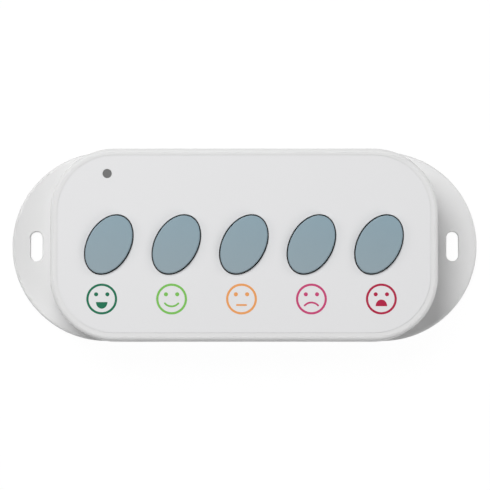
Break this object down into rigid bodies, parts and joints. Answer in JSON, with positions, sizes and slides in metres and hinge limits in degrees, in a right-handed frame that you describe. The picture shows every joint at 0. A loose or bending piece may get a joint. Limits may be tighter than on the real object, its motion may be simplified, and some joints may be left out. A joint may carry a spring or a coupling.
{
  "type": "wireless push button",
  "caption": "Wireless feedback unit with a row of sprung oval buttons on a flat face, screw-down ears at both ends and a sliding battery door in the back.",
  "frame": {"origin": "middle of the back face, which lies on the wall or counter", "axes": "+X along the row of buttons towards the last one, +Y towards the edge with the status light, +Z out of the face"},
  "size_m": [0.1674, 0.0688, 0.0281],
  "materials": {
    "case_white": "satin",
    "face_film": "matte",
    "button_grey_blue": "matte",
    "smoked_lens": "satin",
    "board_green": "satin",
    "black_plastic": "matte",
    "plunger_black": "satin",
    "led_white": "gloss",
    "tin_plate": "satin",
    "cell_sleeve": "gloss",
    "screw_steel": "satin"
  },
  "bodies": {
    "case": {"rear_shell": "case_white", "front_shell": "case_white", "face_overlay": "face_film", "light_pipe": "smoked_lens", "circuit_board": "board_green", "radio_board": "board_green", "switch_bases": "black_plastic", "battery_holder": "black_plastic", "board_chips": "black_plastic", "status_led": "led_white", "switch_covers": "tin_plate", "switch_terminals": "tin_plate", "radio_shield": "tin_plate", "antenna": "tin_plate", "contact_positive": "tin_plate", "contact_negative": "tin_plate", "contact_bridge": "tin_plate", "cell_upper": "cell_sleeve", "cell_lower": "cell_sleeve", "case_screws": "screw_steel", "board_screws": "screw_steel", "switch_dome_1": "tin_plate", "switch_dome_2": "tin_plate", "switch_dome_3": "tin_plate", "switch_dome_4": "tin_plate", "switch_dome_5": "tin_plate"},
    "key_very_happy": {"button_very_happy": "button_grey_blue", "switch_plunger_1": "plunger_black"},
    "key_happy": {"button_happy": "button_grey_blue", "switch_plunger_2": "plunger_black"},
    "key_neutral": {"button_neutral": "button_grey_blue", "switch_plunger_3": "plunger_black"},
    "key_unhappy": {"button_unhappy": "button_grey_blue", "switch_plunger_4": "plunger_black"},
    "key_very_unhappy": {"button_very_unhappy": "button_grey_blue", "switch_plunger_5": "plunger_black"},
    "door": {"battery_door": "case_white"}
  },
  "joints": [
    {"name": "press_very_happy", "type": "slide", "parent": "case", "child": "key_very_happy", "axis": [0, 0, -1], "range_m": [0, 0.0005], "stiffness_N_per_m": 1500, "springref_m": -0.001, "deforming": ["switch_dome_1"]},
    {"name": "press_happy", "type": "slide", "parent": "case", "child": "key_happy", "axis": [0, 0, -1], "range_m": [0, 0.0005], "stiffness_N_per_m": 1500, "springref_m": -0.001, "deforming": ["switch_dome_2"]},
    {"name": "press_neutral", "type": "slide", "parent": "case", "child": "key_neutral", "axis": [0, 0, -1], "range_m": [0, 0.0005], "stiffness_N_per_m": 1500, "springref_m": -0.001, "deforming": ["switch_dome_3"]},
    {"name": "press_unhappy", "type": "slide", "parent": "case", "child": "key_unhappy", "axis": [0, 0, -1], "range_m": [0, 0.0005], "stiffness_N_per_m": 1500, "springref_m": -0.001, "deforming": ["switch_dome_4"]},
    {"name": "press_very_unhappy", "type": "slide", "parent": "case", "child": "key_very_unhappy", "axis": [0, 0, -1], "range_m": [0, 0.0005], "stiffness_N_per_m": 1500, "springref_m": -0.001, "deforming": ["switch_dome_5"]},
    {"name": "door_slide", "type": "slide", "parent": "case", "child": "door", "axis": [0, -1, 0], "range_m": [0, 0.036]}
  ]
}
